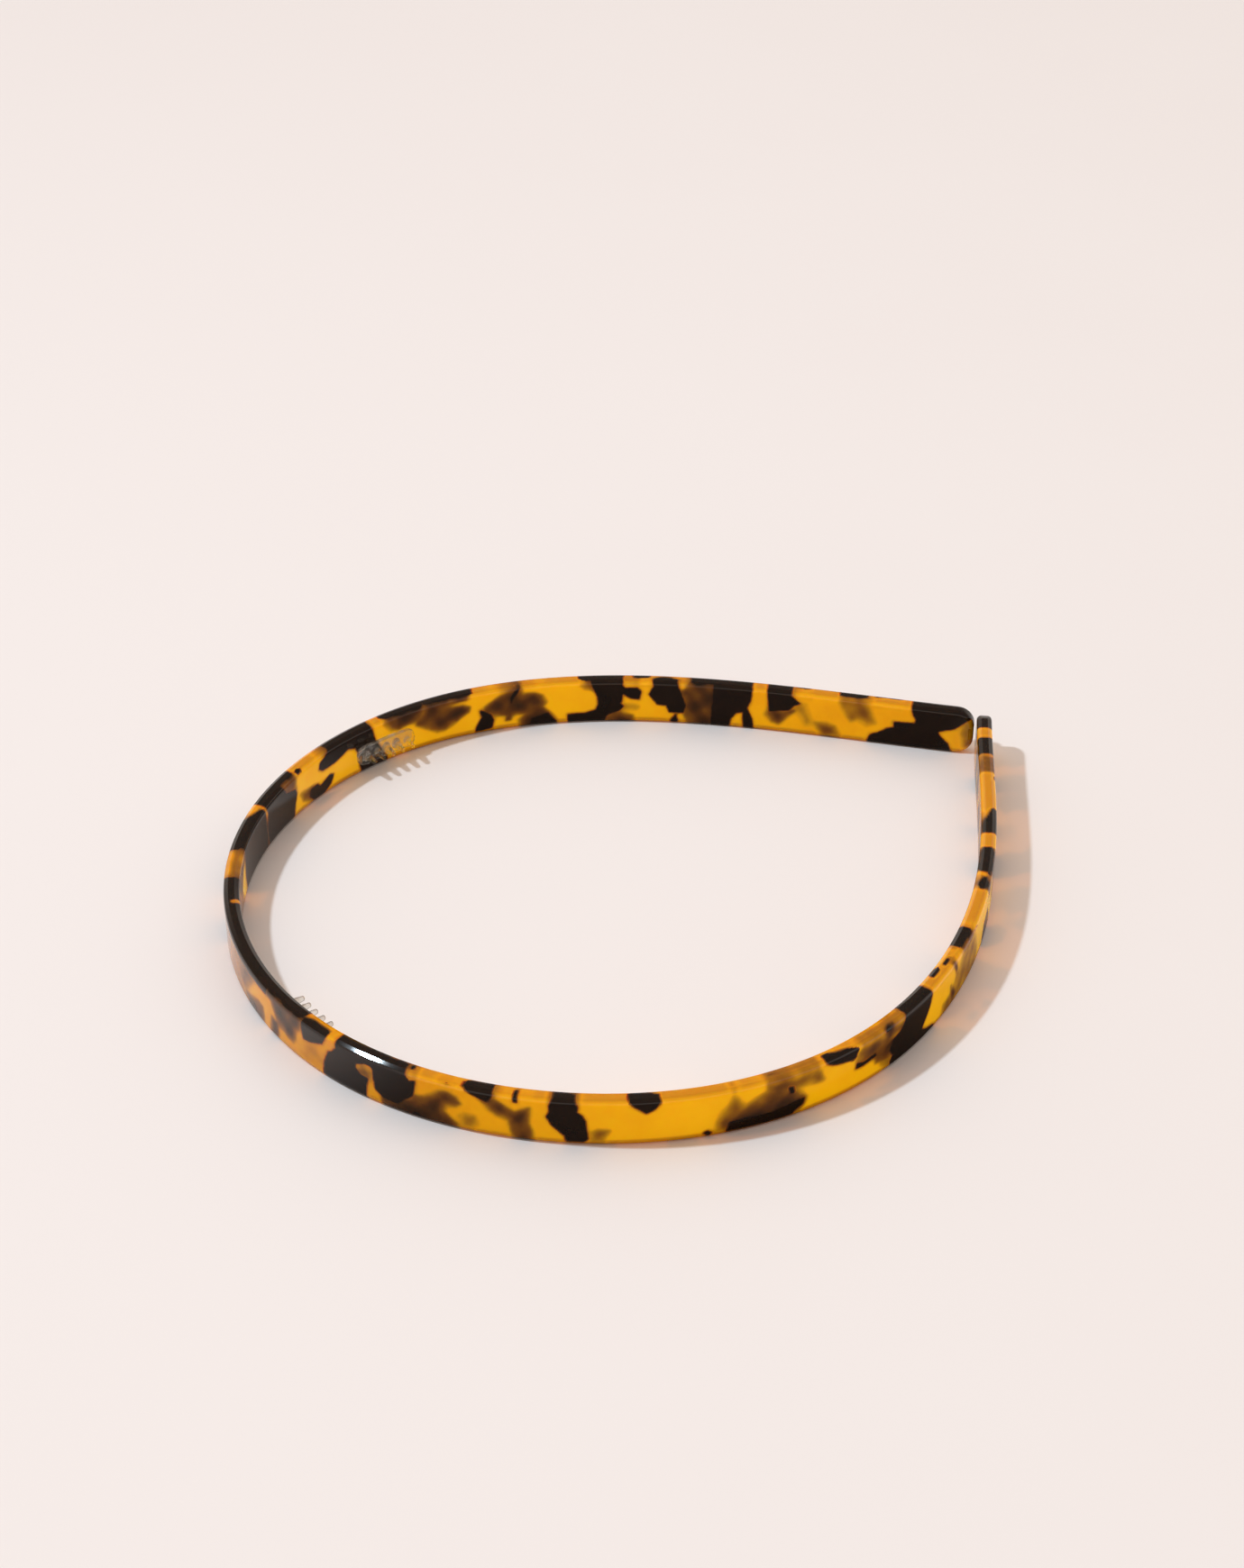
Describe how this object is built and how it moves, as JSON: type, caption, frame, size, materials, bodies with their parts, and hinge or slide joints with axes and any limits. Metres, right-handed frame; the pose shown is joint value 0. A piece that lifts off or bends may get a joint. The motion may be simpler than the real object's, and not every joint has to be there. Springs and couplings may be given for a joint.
{
  "type": "headband",
  "caption": "Slim glossy tortoiseshell acetate headband, a narrow strip bent to a teardrop with rounded tips, with small clear combs bonded inside.",
  "frame": {"origin": "under the middle of the band's bounding box, on the surface that its long edge lies on", "axes": "+X from the crown to the tips, +Y towards the left arm, +Z across the width of the band"},
  "size_m": [0.1614, 0.133, 0.01],
  "materials": {
    "tortoise_acetate": "polished tortoiseshell acetate, amber with brown-black patches",
    "clear_plastic": "clear moulded plastic"
  },
  "bodies": {
    "root": {"band": "tortoise_acetate", "comb_left": "clear_plastic", "comb_crown": "clear_plastic", "comb_right": "clear_plastic"}
  },
  "joints": []
}
